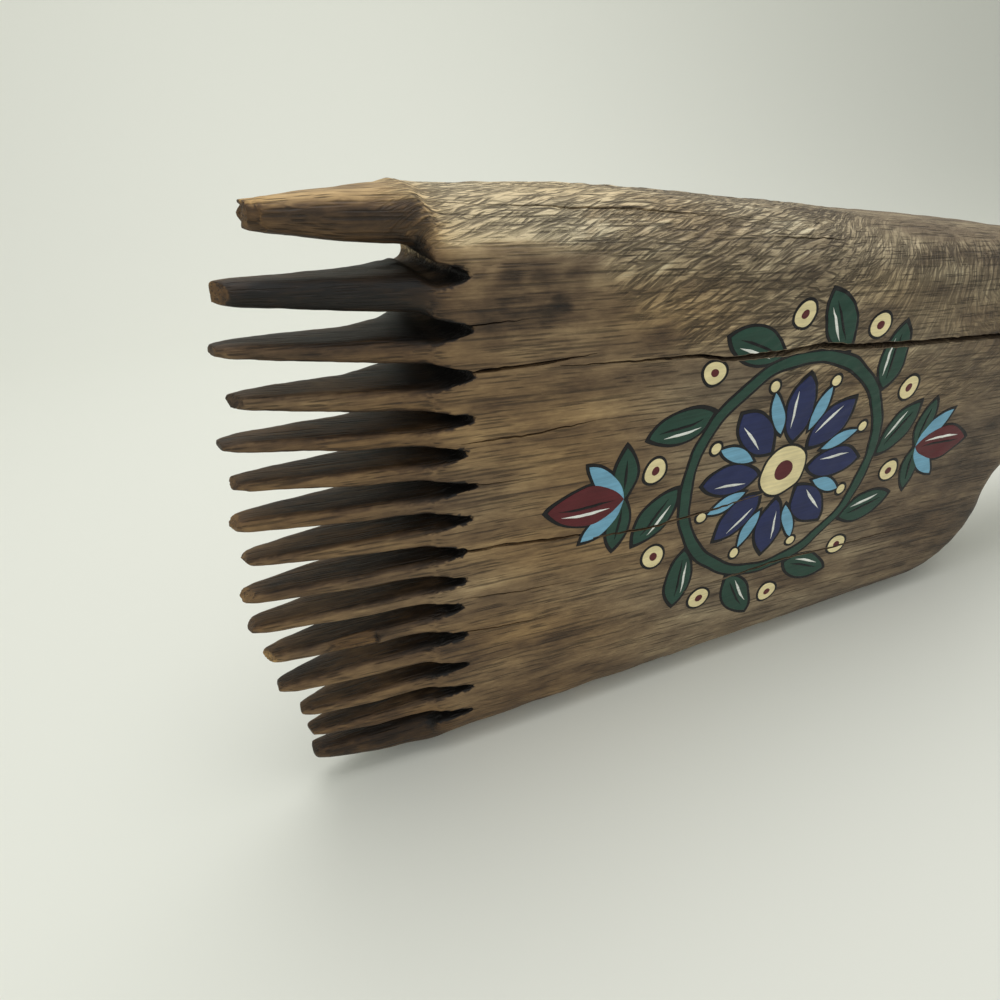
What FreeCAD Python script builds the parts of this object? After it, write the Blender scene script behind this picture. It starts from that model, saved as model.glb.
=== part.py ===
import FreeCAD, Part
import math
import os

import Sketcher
from FreeCAD import Vector

# A hand-carved wooden weaving comb with a painted face. Millimetres.
# It is drawn lengthwise along X with its teeth towards -X, its painted face in the plane Y = 0,
# and its width up Z. At the end it is tilted a little, so that its tapered lower edge lies flat.

SIZES = {
    # the row of teeth: how wide the slots are cut and what stands outside the last ones
    "slot_width": 3.2,
    "wide_slot_width": 4.2,
    "top_tooth_root": 12.8,
    "bottom_tooth_root": 12.4,
    "slot_lean": 6.0,
    # the head, a thick board that narrows towards the handle
    "head_thickness": 42.0,
    "head_length": 168.0,
    "head_end_width": 125.0,
    "shoulder_radius": 33.0,
    "shoulder_length": 35.0,
    "front_top_round": 15.0,
    "front_bottom_round": 13.0,
    "back_top_round": 13.0,
    "back_bottom_round": 8.0,
    # the scoop that thins the teeth from behind
    "root_setback": 9.0,
    "root_depth": 33.0,
    "scoop_rise": 10.0,
    # the handle
    "neck_width": 35.0,
    "neck_length": 12.0,
    "neck_fillet": 8.0,
    "handle_length": 104.0,
    "grip_place": 18.0,
    "grip_width": 33.0,
    "grip_depth": 37.0,
    "palm_place": 40.0,
    "palm_width": 33.5,
    "palm_depth": 36.0,
    "waist_place": 66.0,
    "waist_width": 30.0,
    "waist_depth": 32.5,
    "knob_length": 26.0,
    "knob_width": 36.0,
    "knob_depth": 38.0,
    "knob_end_width": 25.0,
    "knob_end_depth": 27.0,
    # the teeth: how the front and back run along each one
    "front_gap": 0.5,
    "tip_front": 2.4,
    "heel_distance": 7.0,
    "heel_depth": 22.5,
    "middle_distance": 16.0,
    "middle_depth": 15.6,
    "tip_depth": 6.8,
    "point_length": 4.0,
    "point_front": 1.1,
    "point_depth": 4.2,
    "point_width_cut": 1.2,
    "least_flat": 0.5,
    "edge_inset": 1.3,
    # the painted wreath
    "film": 0.1,
    "wreath_place": 95.0,
    "outline_width": 0.8,
    "vine_radius": 33.6,
    "vine_width": 2.8,
    "leaf_start": 36.4,
    "leaf_length": 19.0,
    "leaf_width": 9.0,
    "leaf_lean": 52.0,
    "berry_radius": 3.3,
    "berry_place": 45.5,
    "berry_turn": 27.0,
    "berry_dot_radius": 1.2,
    "petal_start": 9.4,
    "petal_length": 18.6,
    "petal_width": 9.4,
    "ray_start": 13.2,
    "ray_length": 13.0,
    "ray_width": 3.9,
    "eye_radius": 7.6,
    "seed_radius": 3.2,
    "bead_radius": 1.5,
    "bead_place": 28.2,
    # the painted sprigs at both sides of the wreath
    "sprig_place": 53.0,
    "bud_length": 22.0,
    "bud_width": 11.0,
    "side_petal_length": 16.0,
    "side_petal_width": 5.6,
    "side_petal_lean": 44.0,
    "sprig_leaf_length": 15.0,
    "sprig_leaf_width": 6.2,
    "sprig_leaf_lean": 84.0,
    # fine strokes over the colours
    "stroke_width": 0.8,
    "stroke_offset": 1.9,
    "stroke_inset": 4.0,
    "stroke_taper": 0.2,
    "vein_width": 0.7,
    "vein_inset": 3.0,
}

WIDE_SLOTS = 3          # the first slots from the top are cut wider
TOOTH_COUNT = 15
LEAF_COUNT = 10
PETAL_COUNT = 8
SPRIG_COUNT = 2
CLOSE = 0.01            # how near a face's edge must lie to count as on it

# Slot to slot, from the top down, and how far each slot is sawn past the line at X = 0. The maker
# cut them by eye.
TOOTH_STEPS = [12.0, 10.4, 9.9, 8.2, 8.4, 8.6, 9.2, 8.6, 8.3, 9.3, 10.6, 8.6, 9.1]
SLOT_ENDS = [-1.1, -0.3, 0.0, 0.1, -1.2, 1.7, 0.5, -0.8, -0.6, -1.5, -0.1, 0.4, 1.5, 1.6]
# Length past the slot ends, width near the tip and how far the tip stands off the root, per tooth.
TOOTH_LENGTHS = [42.5, 49.0, 51.0, 49.6, 52.5, 51.9, 53.2, 52.3, 53.6, 53.4, 50.6, 48.6, 44.4, 43.0, 42.3]
TIP_WIDTHS = [6.4, 5.2, 3.2, 3.4, 3.0, 3.0, 3.5, 2.6, 3.2, 3.0, 3.6, 3.4, 3.2, 3.2, 5.6]
TIP_RISES = [0.8, 2.0, 3.0, 3.2, 3.2, 2.6, 1.6, 1.2, 0.4, 0.0, -1.0, -1.4, -1.6, -0.6, 1.2]

doc = FreeCAD.newDocument("weaving_comb")


# The sheet of driving sizes

sheet = doc.addObject("Spreadsheet::Sheet", "Sizes")
rows = dict(SIZES)
for index, step in enumerate(TOOTH_STEPS, 1):
    rows[f"tooth_step_{index:02d}"] = step
for index, place in enumerate(SLOT_ENDS, 1):
    rows[f"slot_end_{index:02d}"] = place
for index in range(TOOTH_COUNT):
    rows[f"tooth_length_{index + 1:02d}"] = TOOTH_LENGTHS[index]
    rows[f"tip_width_{index + 1:02d}"] = TIP_WIDTHS[index]
    rows[f"tip_rise_{index + 1:02d}"] = TIP_RISES[index]
for line, (name, number) in enumerate(rows.items(), 1):
    sheet.set(f"A{line}", name)
    sheet.set(f"B{line}", str(number))
    sheet.setAlias(f"B{line}", name)
doc.recompute()


def cell(name):
    return f"Sizes.{name}"


def value(expression):
    """What an expression over the sheet comes to, as a plain number."""
    found = sheet.evalExpression(str(expression))
    return float(getattr(found, "Value", found))


# Places that follow from the sheet, as expressions

def slot_width(slot):
    return cell("wide_slot_width") if slot <= WIDE_SLOTS else cell("slot_width")


def slot_height(slot):
    """The height of a slot's middle above the lower edge. Slot 1 is the top one."""
    steps = [cell(f"tooth_step_{index:02d}") for index in range(slot, TOOTH_COUNT - 1)]
    return " + ".join([cell("bottom_tooth_root"), cell("slot_width") + " / 2"] + steps)


HEAD_WIDTH = f"({slot_height(1)} + {slot_width(1)} / 2 + {cell('top_tooth_root')})"
MID_HEIGHT = f"({HEAD_WIDTH} / 2)"
EDGE_SLOPE = f"(({HEAD_WIDTH} - {cell('head_end_width')}) / 2 / {cell('head_length')})"
SHOULDER_END = f"({cell('head_length')} + {cell('shoulder_length')})"
NECK_END = f"({SHOULDER_END} + {cell('neck_length')})"
STRIP_MIDDLE = f"(({cell('head_length')} - {cell('root_setback')}) / 2)"
STRIP_FRONT = cell("front_bottom_round")
STRIP_BACK = f"({cell('head_thickness')} - {cell('back_bottom_round')})"


# Sketch helpers. Every free coordinate is bound to an expression.

START_INDEX, END_INDEX, CENTRE_INDEX = 1, 2, 3
ORIGIN = (-1, START_INDEX)


def new_body(name):
    body = doc.addObject("PartDesign::Body", name)
    body.Label = name
    body.AllowCompound = True
    return body


def origin_plane(body, role):
    return next(item for item in body.Origin.OriginFeatures if item.Role == role)


def new_sketch(body, name, role, shift=("0", "0", "0")):
    """A sketch on a body's origin plane, shifted along its own axes by three expressions."""
    sketch = body.newObject("Sketcher::SketchObject", name)
    sketch.AttachmentSupport = (origin_plane(body, role), [""])
    sketch.MapMode = "FlatFace"
    for axis, expression in zip("xyz", shift):
        if expression != "0":
            sketch.setExpression(f".AttachmentOffset.Base.{axis}", expression)
    return sketch


def bind(sketch, constraint, expression):
    index = sketch.addConstraint(constraint)
    sketch.setExpression(f"Constraints[{index}]", expression)


def pin(sketch, geometry, point, across, upward):
    """Holds one point of a geometry at a place given by two expressions."""
    for kind, expression in (("DistanceX", across), ("DistanceY", upward)):
        if expression is not None:
            constraint = Sketcher.Constraint(kind, *ORIGIN, geometry, point, value(expression))
            bind(sketch, constraint, expression)


def add_polygon(sketch, corners):
    """A closed outline of straight lines through corners given as pairs of expressions."""
    points = [Vector(value(across), value(upward), 0) for across, upward in corners]
    first = sketch.GeometryCount
    count = len(points)
    for index in range(count):
        sketch.addGeometry(Part.LineSegment(points[index], points[(index + 1) % count]), False)
    for index in range(count):
        following = first + (index + 1) % count
        sketch.addConstraint(Sketcher.Constraint(
            "Coincident", first + index, END_INDEX, following, START_INDEX))
        pin(sketch, first + index, START_INDEX, *corners[index])


def arc_geometry(centre, radius, start_angle, end_angle):
    circle = Part.Circle(centre, Vector(0, 0, 1), radius)
    return Part.ArcOfCircle(circle, start_angle, end_angle)


def add_circle(sketch, across, upward, radius):
    centre = Vector(value(across), value(upward), 0)
    circle = sketch.addGeometry(Part.Circle(centre, Vector(0, 0, 1), value(radius)), False)
    pin(sketch, circle, CENTRE_INDEX, across, upward)
    bind(sketch, Sketcher.Constraint("Radius", circle, value(radius)), radius)


def add_stadium(sketch, front, back, height, width):
    """A section with two straight sides and round ends, from front to back along the sketch's X."""
    radius = value(width) / 2
    ends = [Vector(value(front) + radius, value(height), 0), Vector(value(back) - radius, value(height), 0)]
    quarter = math.pi / 2
    near = sketch.addGeometry(arc_geometry(ends[0], radius, quarter, 3 * quarter), False)
    lower = sketch.addGeometry(
        Part.LineSegment(ends[0] - Vector(0, radius, 0), ends[1] - Vector(0, radius, 0)), False)
    far = sketch.addGeometry(arc_geometry(ends[1], radius, -quarter, quarter), False)
    upper = sketch.addGeometry(
        Part.LineSegment(ends[1] + Vector(0, radius, 0), ends[0] + Vector(0, radius, 0)), False)
    for one, two in ((near, lower), (lower, far), (far, upper), (upper, near)):
        sketch.addConstraint(Sketcher.Constraint("Tangent", one, END_INDEX, two, START_INDEX))
    sketch.addConstraint(Sketcher.Constraint("Horizontal", lower))
    bind(sketch, Sketcher.Constraint("Radius", near, radius), f"({width}) / 2")
    pin(sketch, near, CENTRE_INDEX, f"{front} + ({width}) / 2", height)
    pin(sketch, far, CENTRE_INDEX, f"{back} - ({width}) / 2", None)


def add_lens(sketch, start, place_angle, lean, length, width):
    """A leaf or petal of two equal arcs.

    Its base lies at a radius and an angle about the sketch's origin, and it points away from
    there at a lean to the radius."""
    place = f"(({place_angle}) * 1 deg)"
    heading = f"((({place_angle}) + ({lean})) * 1 deg)"
    base = (f"({start}) * cos{place}", f"({start}) * sin{place}")
    tip = (f"{base[0]} + ({length}) * cos{heading}", f"{base[1]} + ({length}) * sin{heading}")
    one = Vector(value(base[0]), value(base[1]), 0)
    two = Vector(value(tip[0]), value(tip[1]), 0)
    chord, breadth = value(length), value(width)
    radius = (chord ** 2 + breadth ** 2) / (4 * breadth)
    arcs = []
    for first, second in ((one, two), (two, one)):
        along = (second - first).normalize()
        left = Vector(-along.y, along.x, 0)
        centre = (first + second) * 0.5 + left * (radius - breadth / 2)
        angles = [math.atan2(point.y - centre.y, point.x - centre.x) for point in (first, second)]
        arcs.append(sketch.addGeometry(arc_geometry(centre, radius, *angles), False))
    sketch.addConstraint(Sketcher.Constraint("Coincident", arcs[0], END_INDEX, arcs[1], START_INDEX))
    sketch.addConstraint(Sketcher.Constraint("Coincident", arcs[1], END_INDEX, arcs[0], START_INDEX))
    sketch.addConstraint(Sketcher.Constraint("Equal", arcs[0], arcs[1]))
    pin(sketch, arcs[0], START_INDEX, *base)
    pin(sketch, arcs[0], END_INDEX, *tip)
    bind(sketch, Sketcher.Constraint("Radius", arcs[0], radius),
         f"(pow({length}; 2) + pow({width}; 2)) / (4 * {width})")


def add_pad(body, sketch, length, reverse=False):
    pad = body.newObject("PartDesign::Pad", sketch.Name + "_pad")
    pad.Profile = sketch
    pad.Reversed = reverse
    pad.setExpression("Length", length)
    return pad


def add_pocket(body, sketch, name, reverse, lean=None):
    """A cut right through, which lean tilts by an expression of X per unit of Y."""
    pocket = body.newObject("PartDesign::Pocket", name)
    pocket.Profile = sketch
    pocket.Type = "ThroughAll"
    pocket.Reversed = reverse
    if lean is not None:
        pocket.UseCustomVector = True
        pocket.Direction = Vector(0, 1, 0)
        pocket.setExpression(".Direction.x", lean)
    return pocket


def add_ring(body, feature, sketch, count):
    """Repeats a pad evenly round the axis through its sketch's origin."""
    ring = body.newObject("PartDesign::PolarPattern", feature.Name + "_ring")
    ring.Originals = [feature]
    ring.Axis = (sketch, ["N_Axis"])
    ring.Angle = 360
    ring.Occurrences = count
    body.Tip = ring
    return ring


def edges_where(feature, wanted):
    """Names of a feature's edges whose middle passes a test."""
    found = []
    for index, edge in enumerate(feature.Shape.Edges, 1):
        middle = edge.valueAt((edge.FirstParameter + edge.LastParameter) / 2)
        if wanted(edge, middle):
            found.append(f"Edge{index}")
    return found


def add_fillet(body, feature, names, radius, label):
    fillet = body.newObject("PartDesign::Fillet", label)
    fillet.Base = (feature, names)
    fillet.setExpression("Radius", radius)
    body.Tip = fillet
    doc.recompute()
    return fillet


# The head

def build_head():
    body = new_body("head_block")
    outline = new_sketch(body, "head_outline", "XZ_Plane")
    root = f"-{cell('root_setback')}"
    low = f"({EDGE_SLOPE} * {SHOULDER_END})"
    neck_low = f"({MID_HEIGHT} - {cell('neck_width')} / 2)"
    neck_high = f"({MID_HEIGHT} + {cell('neck_width')} / 2)"
    add_polygon(outline, [
        (root, f"{EDGE_SLOPE} * {root}"),
        (SHOULDER_END, low),
        (SHOULDER_END, neck_low),
        (NECK_END, neck_low),
        (NECK_END, neck_high),
        (SHOULDER_END, neck_high),
        (SHOULDER_END, f"{HEAD_WIDTH} - {low}"),
        (root, f"{HEAD_WIDTH} - {EDGE_SLOPE} * {root}"),
    ])
    board = add_pad(body, outline, cell("head_thickness"), reverse=True)
    doc.recompute()

    # the shoulders and the inner corners at the neck, seen square to the face
    end, neck = value(SHOULDER_END), value(cell("neck_width")) / 2
    middle = value(MID_HEIGHT)

    def upright(edge, place):
        along_y = abs(edge.tangentAt(edge.FirstParameter).y) > 1 - CLOSE
        return along_y and abs(place.x - end) < CLOSE

    def inner(edge, place):
        return upright(edge, place) and abs(abs(place.z - middle) - neck) < CLOSE

    def outer(edge, place):
        return upright(edge, place) and not inner(edge, place)

    shape = add_fillet(body, board, edges_where(board, outer), cell("shoulder_radius"), "shoulders")
    shape = add_fillet(body, shape, edges_where(shape, inner), cell("neck_fillet"), "neck_corners")

    # the four long edges, each a chain from the roots of the teeth to the neck
    thickness = value(cell("head_thickness"))
    rounds = (
        ("front_bottom_round", 0.0, -1), ("front_top_round", 0.0, 1),
        ("back_bottom_round", thickness, -1), ("back_top_round", thickness, 1),
    )
    first, last = -value(cell("root_setback")), value(NECK_END)
    for name, depth, side in rounds:
        def on_chain(edge, place, depth=depth, side=side):
            return (abs(place.y - depth) < CLOSE and (place.z - middle) * side > CLOSE
                    and first + CLOSE < place.x < last - CLOSE
                    and abs(edge.tangentAt(edge.FirstParameter).y) < CLOSE)
        shape = add_fillet(body, shape, edges_where(shape, on_chain), cell(name), name + "ing")

    # the scoop behind the roots of the teeth
    scoop = new_sketch(body, "scoop_outline", "XY_Plane")
    beyond = f"-({cell('root_setback')} + {cell('scoop_rise')})"
    fall = f"(({cell('head_thickness')} - {cell('root_depth')}) / {cell('scoop_rise')})"
    top = f"({cell('scoop_rise')} - {cell('root_setback')})"
    deep = f"({cell('root_depth')} - {fall} * {cell('scoop_rise')})"
    add_polygon(scoop, [
        (beyond, deep), (top, cell("head_thickness")),
        (top, f"{cell('head_thickness')} * 1.5"), (beyond, f"{cell('head_thickness')} * 1.5"),
    ])
    add_pocket(body, scoop, "scoop", reverse=True)

    # the slots, with round ends that lean towards the tips at the back
    slots = new_sketch(body, "slot_outlines", "XZ_Plane")
    for slot in range(1, TOOTH_COUNT):
        add_slot(slots, slot)
    lean = f"-{cell('slot_lean')} / {cell('head_thickness')}"
    body.Tip = add_pocket(body, slots, "slots", reverse=False, lean=lean)
    return body


def add_slot(sketch, slot):
    """One open-ended slot outline: straight sides and a half-round end near X = 0."""
    width, height = slot_width(slot), f"({slot_height(slot)})"
    middle = f"({cell(f'slot_end_{slot:02d}')} - {width} / 2)"
    radius = value(width) / 2
    centre = Vector(value(middle), value(height), 0)
    mouth = f"-2 * {cell('root_setback')}"
    left = value(mouth)
    quarter = math.pi / 2
    arc = sketch.addGeometry(arc_geometry(centre, radius, -quarter, quarter), False)
    corners = [centre + Vector(0, radius, 0), Vector(left, centre.y + radius, 0),
               Vector(left, centre.y - radius, 0), centre - Vector(0, radius, 0)]
    lines = [sketch.addGeometry(Part.LineSegment(one, two), False)
             for one, two in zip(corners, corners[1:])]
    for one, two in ((arc, lines[0]), (lines[2], arc)):
        sketch.addConstraint(Sketcher.Constraint("Tangent", one, END_INDEX, two, START_INDEX))
    for one, two in ((lines[0], lines[1]), (lines[1], lines[2])):
        sketch.addConstraint(Sketcher.Constraint("Coincident", one, END_INDEX, two, START_INDEX))
    sketch.addConstraint(Sketcher.Constraint("Horizontal", lines[0]))
    sketch.addConstraint(Sketcher.Constraint("Horizontal", lines[2]))
    sketch.addConstraint(Sketcher.Constraint("Vertical", lines[1]))
    bind(sketch, Sketcher.Constraint("Radius", arc, radius), f"{width} / 2")
    pin(sketch, arc, CENTRE_INDEX, middle, height)
    pin(sketch, lines[1], START_INDEX, mouth, None)


# Pieces that are drawn out through a row of round-ended sections

def build_drawn_piece(name, sections, straight=False):
    """Each section is (place along X, front, back, middle height, width), as expressions."""
    body = new_body(name)
    sketches = []
    for index, (place, front, back, height, width) in enumerate(sections, 1):
        sketch = new_sketch(body, f"{name}_section_{index}", "YZ_Plane", ("0", "0", place))
        add_stadium(sketch, front, back, height, width)
        sketches.append(sketch)
    doc.recompute()
    loft = body.newObject("PartDesign::AdditiveLoft", name + "_loft")
    loft.Profile = sketches[0]
    loft.Sections = sketches[1:]
    loft.Ruled = straight
    body.Tip = loft
    return body


def tooth_walls(number):
    """The heights of a tooth's lower and upper side where it leaves the head."""
    if number == TOOTH_COUNT:
        lower = cell("edge_inset")
    else:
        lower = f"({slot_height(number)} + {slot_width(number)} / 2)"
    if number == 1:
        upper = f"({HEAD_WIDTH} - {cell('edge_inset')})"
    else:
        upper = f"({slot_height(number - 1)} - {slot_width(number - 1)} / 2)"
    return lower, upper


def build_tooth(number):
    lower, upper = tooth_walls(number)
    root_width = f"({upper} - {lower})"
    root_height = f"(({upper} + {lower}) / 2)"
    tip_width = cell(f"tip_width_{number:02d}")
    rise = cell(f"tip_rise_{number:02d}")
    length = cell(f"tooth_length_{number:02d}")
    # the outer teeth keep inside the rounded edges of the head
    inset = cell("edge_inset") if number in (1, TOOTH_COUNT) else "0"
    root = cell("root_setback")
    shank = f"({length} - {root} - {cell('point_length')})"

    def section(distance, front, depth, width, share):
        return (f"-({root} + {distance})", f"({front} + {inset})", f"({depth})",
                f"({root_height} + {rise} * {share})", f"({width})")

    heel, middle = cell("heel_distance"), cell("middle_distance")
    point = f"({shank} + {cell('point_length')})"
    point_front = f"({cell('tip_front')} + {cell('point_front')})"
    point_width = f"({tip_width} - {cell('point_width_cut')})"
    # a section is never wider than deep, which its round ends need
    tip_depth = f"max({cell('tip_depth')}; {tip_width} + {cell('least_flat')})"
    point_depth = f"max({cell('point_depth')}; {point_width} + {cell('least_flat')})"
    return build_drawn_piece(f"tooth_{number:02d}", [
        section("0", cell("front_gap"), cell("root_depth"), root_width, "0"),
        section(heel, cell("front_gap") + " * 1.5", cell("heel_depth"),
                f"{root_width} * 0.8 + {tip_width} * 0.2", f"({heel} / {point})"),
        section(middle, cell("front_gap") + " * 2", cell("middle_depth"),
                f"{root_width} * 0.5 + {tip_width} * 0.5", f"({middle} / {point})"),
        section(shank, cell("tip_front"), f"{cell('tip_front')} + {inset} + {tip_depth}",
                tip_width, f"({shank} / {point})"),
        section(point, point_front, f"{point_front} + {inset} + {point_depth}", point_width, "1"),
    ], straight=True)


def build_handle():
    middle_depth = f"({cell('head_thickness')} / 2)"
    start, length = NECK_END, cell("handle_length")
    knob = cell("knob_length")

    def section(distance, width, depth):
        return (f"{start} + {distance}", f"({middle_depth} - {depth} / 2)",
                f"({middle_depth} + {depth} / 2)", MID_HEIGHT, f"({width})")

    neck_depth = f"({cell('head_thickness')} - {cell('least_flat')})"
    neck_width = f"({cell('neck_width')} - {cell('least_flat')})"
    return build_drawn_piece("handle", [
        section("0", neck_width, neck_depth),
        section(cell("grip_place"), cell("grip_width"), cell("grip_depth")),
        section(cell("palm_place"), cell("palm_width"), cell("palm_depth")),
        section(cell("waist_place"), cell("waist_width"), cell("waist_depth")),
        section(f"({length} - {knob} / 2)", cell("knob_width"), cell("knob_depth")),
        section(length, cell("knob_end_width"), cell("knob_end_depth")),
    ])


# The painted film, in layers: a dark ground, the colours on it and fine strokes on those

LAYERS = ("ground", "colour", "stroke")


def film_sketch(body, name, layer):
    height = f"{LAYERS.index(layer)} * {cell('film')}"
    return new_sketch(body, name, "XZ_Plane", (cell("wreath_place"), MID_HEIGHT, height))


def film_pad(body, name, layer, count, draw, grow="0"):
    """Pads one motif, drawn by a function, and repeats it round the wreath's centre."""
    sketch = film_sketch(body, name, layer)
    draw(sketch, grow)
    pad = add_pad(body, sketch, cell("film"))
    pad.Refine = False
    doc.recompute()
    body.Tip = pad
    if count > 1:
        add_ring(body, pad, sketch, count).Refine = False


def lens_motif(start, angle, lean, length, width):
    """A lens that is drawn larger all round by grow, which the ground layer needs."""
    def draw(sketch, grow):
        if grow == "0":
            add_lens(sketch, start, angle, lean, length, width)
            return
        # the base steps back along the lens, so its radius and angle are worked out again
        step, back = f"(2 * {grow})", f"(({lean}) * 1 deg)"
        across = f"(({start}) - {step} * cos{back})"
        upward = f"(-{step} * sin{back})"
        radius = f"sqrt(pow({across}; 2) + pow({upward}; 2))"
        turn = f"(atan2({upward}; {across}) / 1 deg)"
        add_lens(sketch, radius, f"(({angle}) + {turn})", f"(({lean}) - {turn})",
                 f"({length} + 2 * {step})", f"({width} + 2 * {grow})")
    return draw


def disc_motif(start, angle, radius):
    def draw(sketch, grow):
        place = f"(({angle}) * 1 deg)"
        add_circle(sketch, f"({start}) * cos{place}", f"({start}) * sin{place}", f"({radius} + {grow})")
    return draw


def band_motif(radius, width):
    def draw(sketch, grow):
        half = f"(({width}) / 2 + {grow})"
        add_circle(sketch, "0", "0", f"({radius} + {half})")
        add_circle(sketch, "0", "0", f"({radius} - {half})")
    return draw


def stroke_motif(start, angle, lean, length, inset, width, offset="0"):
    """A brush stroke along a leaf or petal, set in from its ends and off to one side."""
    def draw(sketch, grow):
        place, heading = f"(({angle}) * 1 deg)", f"((({angle}) + ({lean})) * 1 deg)"

        def corner(along, aside):
            return (f"({start}) * cos{place} + {along} * cos{heading} - {aside} * sin{heading}",
                    f"({start}) * sin{place} + {along} * sin{heading} + {aside} * cos{heading}")

        taper = f"({cell('stroke_taper')} * ({length}))"
        near, far = inset, f"({length} - {inset})"
        near_wide, far_wide = f"({near} + {taper})", f"({far} - {taper})"
        left, right = f"({offset} + {width} / 2 + {grow})", f"({offset} - {width} / 2 - {grow})"
        add_polygon(sketch, [
            corner(near, offset), corner(near_wide, right), corner(far_wide, right),
            corner(far, offset), corner(far_wide, left), corner(near_wide, left),
        ])
    return draw


half_petal = f"(180 / {PETAL_COUNT})"
leaf = (cell("leaf_start"), "0", cell("leaf_lean"), cell("leaf_length"))
petal = (cell("petal_start"), "0", "0", cell("petal_length"))
ray = (cell("ray_start"), half_petal, "0", cell("ray_length"))
bud = (cell("sprig_place"), "0", "0", cell("bud_length"))
side_petals = [(cell("sprig_place"), "0", side + cell("side_petal_lean"), cell("side_petal_length"))
               for side in ("", "-")]
sprig_leaves = [(cell("sprig_place"), "0", side + cell("sprig_leaf_lean"), cell("sprig_leaf_length"))
                for side in ("", "-")]
berry = (cell("berry_place"), cell("berry_turn"))
bead = (cell("bead_place"), half_petal)

# Each coloured piece: how often it is repeated round the centre, and what is drawn
WREATH = {
    "paint_vine": (1, [band_motif(cell("vine_radius"), cell("vine_width"))]),
    "paint_leaves": (LEAF_COUNT, [lens_motif(*leaf, cell("leaf_width"))]),
    "paint_berries": (LEAF_COUNT, [disc_motif(*berry, cell("berry_radius"))]),
}
STAR = {
    "paint_star_petals": (PETAL_COUNT, [lens_motif(*petal, cell("petal_width"))]),
    "paint_star_rays": (PETAL_COUNT, [lens_motif(*ray, cell("ray_width"))]),
    "paint_star_eye": (1, [band_motif(
        f"(({cell('eye_radius')} + {cell('seed_radius')}) / 2)",
        f"({cell('eye_radius')} - {cell('seed_radius')})")]),
    "paint_star_seed": (1, [disc_motif("0", "0", cell("seed_radius"))]),
    "paint_star_beads": (PETAL_COUNT, [disc_motif(*bead, cell("bead_radius"))]),
}
SPRIGS = {
    "paint_sprig_buds": (SPRIG_COUNT, [lens_motif(*bud, cell("bud_width"))]),
    "paint_sprig_petals": (SPRIG_COUNT, [
        lens_motif(*one, cell("side_petal_width")) for one in side_petals]),
    "paint_sprig_leaves": (SPRIG_COUNT, [
        lens_motif(*one, cell("sprig_leaf_width")) for one in sprig_leaves]),
}
GROUNDS = {"paint_wreath_outline": WREATH, "paint_star_outline": STAR, "paint_sprig_outlines": SPRIGS}

vein = (cell("vein_inset"), cell("vein_width"))
light = (cell("stroke_inset"), cell("stroke_width"), cell("stroke_offset"))
STROKES = {
    "paint_veins": [
        (LEAF_COUNT, stroke_motif(*leaf, *vein)),
        (SPRIG_COUNT, stroke_motif(*bud, *vein)),
    ] + [(SPRIG_COUNT, stroke_motif(*one, *vein)) for one in sprig_leaves],
    "paint_highlights": [
        (LEAF_COUNT, stroke_motif(*leaf, *light)),
        (PETAL_COUNT, stroke_motif(*petal, *light)),
        (SPRIG_COUNT, stroke_motif(*bud, *light)),
    ],
    "paint_berry_dots": [(LEAF_COUNT, disc_motif(*berry, cell("berry_dot_radius")))],
}


def build_ground(name, pieces):
    body = new_body(name)
    for piece, (count, motifs) in pieces.items():
        for index, motif in enumerate(motifs):
            film_pad(body, f"{piece}_ground_{index}", "ground", count, motif, cell("outline_width"))
    return body


def build_film(name, layer, motifs):
    body = new_body(name)
    for index, (count, motif) in enumerate(motifs):
        film_pad(body, f"{name}_{index}", layer, count, motif)
    return body


def build_painting():
    films = [build_ground(name, pieces) for name, pieces in GROUNDS.items()]
    for pieces in GROUNDS.values():
        for name, (count, motifs) in pieces.items():
            films.append(build_film(name, "colour", [(count, motif) for motif in motifs]))
    for name, motifs in STROKES.items():
        films.append(build_film(name, "stroke", motifs))
    return films


doc.recompute()
bodies = [build_head(), build_handle()]
bodies += [build_tooth(number) for number in range(1, TOOTH_COUNT + 1)]
bodies += build_painting()


# Tilt everything, so that the flat strip of the lower edge is level and its middle is the origin

for body in bodies:
    body.Placement = FreeCAD.Placement(Vector(0, 0, 0), FreeCAD.Rotation(Vector(0, 1, 0), 1))
    body.setExpression(".Placement.Rotation.Angle", f"atan({EDGE_SLOPE})")
    body.setExpression(".Placement.Base.x", f"-{STRIP_MIDDLE} / cos(atan({EDGE_SLOPE}))")
    body.setExpression(".Placement.Base.y", f"-({STRIP_FRONT} + {STRIP_BACK}) / 2")
doc.recompute()


# Check every object, then write one file for each piece

for item in doc.Objects:
    if "Invalid" in item.State or "Error" in item.State:
        raise RuntimeError(f"{item.Name} failed: {item.State}")
for body in bodies:
    if body.Shape.isNull() or not body.Shape.isValid() or not body.Shape.Solids:
        raise RuntimeError(f"{body.Label} has no valid shape")

os.makedirs("parts", exist_ok=True)
for body in bodies:
    body.Shape.exportStep(f"parts/{body.Label}.step")
    box = body.Shape.BoundBox
    print(f"{body.Label}: {len(body.Shape.Solids)} solids, {body.Shape.Volume:.1f} mm3, "
          f"{box.XMin:.1f}..{box.XMax:.1f} {box.YMin:.1f}..{box.YMax:.1f} {box.ZMin:.1f}..{box.ZMax:.1f}")
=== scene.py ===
import math

import bmesh
import bpy
import numpy as np
from mathutils import Euler, Matrix, Vector
from mathutils.bvhtree import BVHTree


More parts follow.
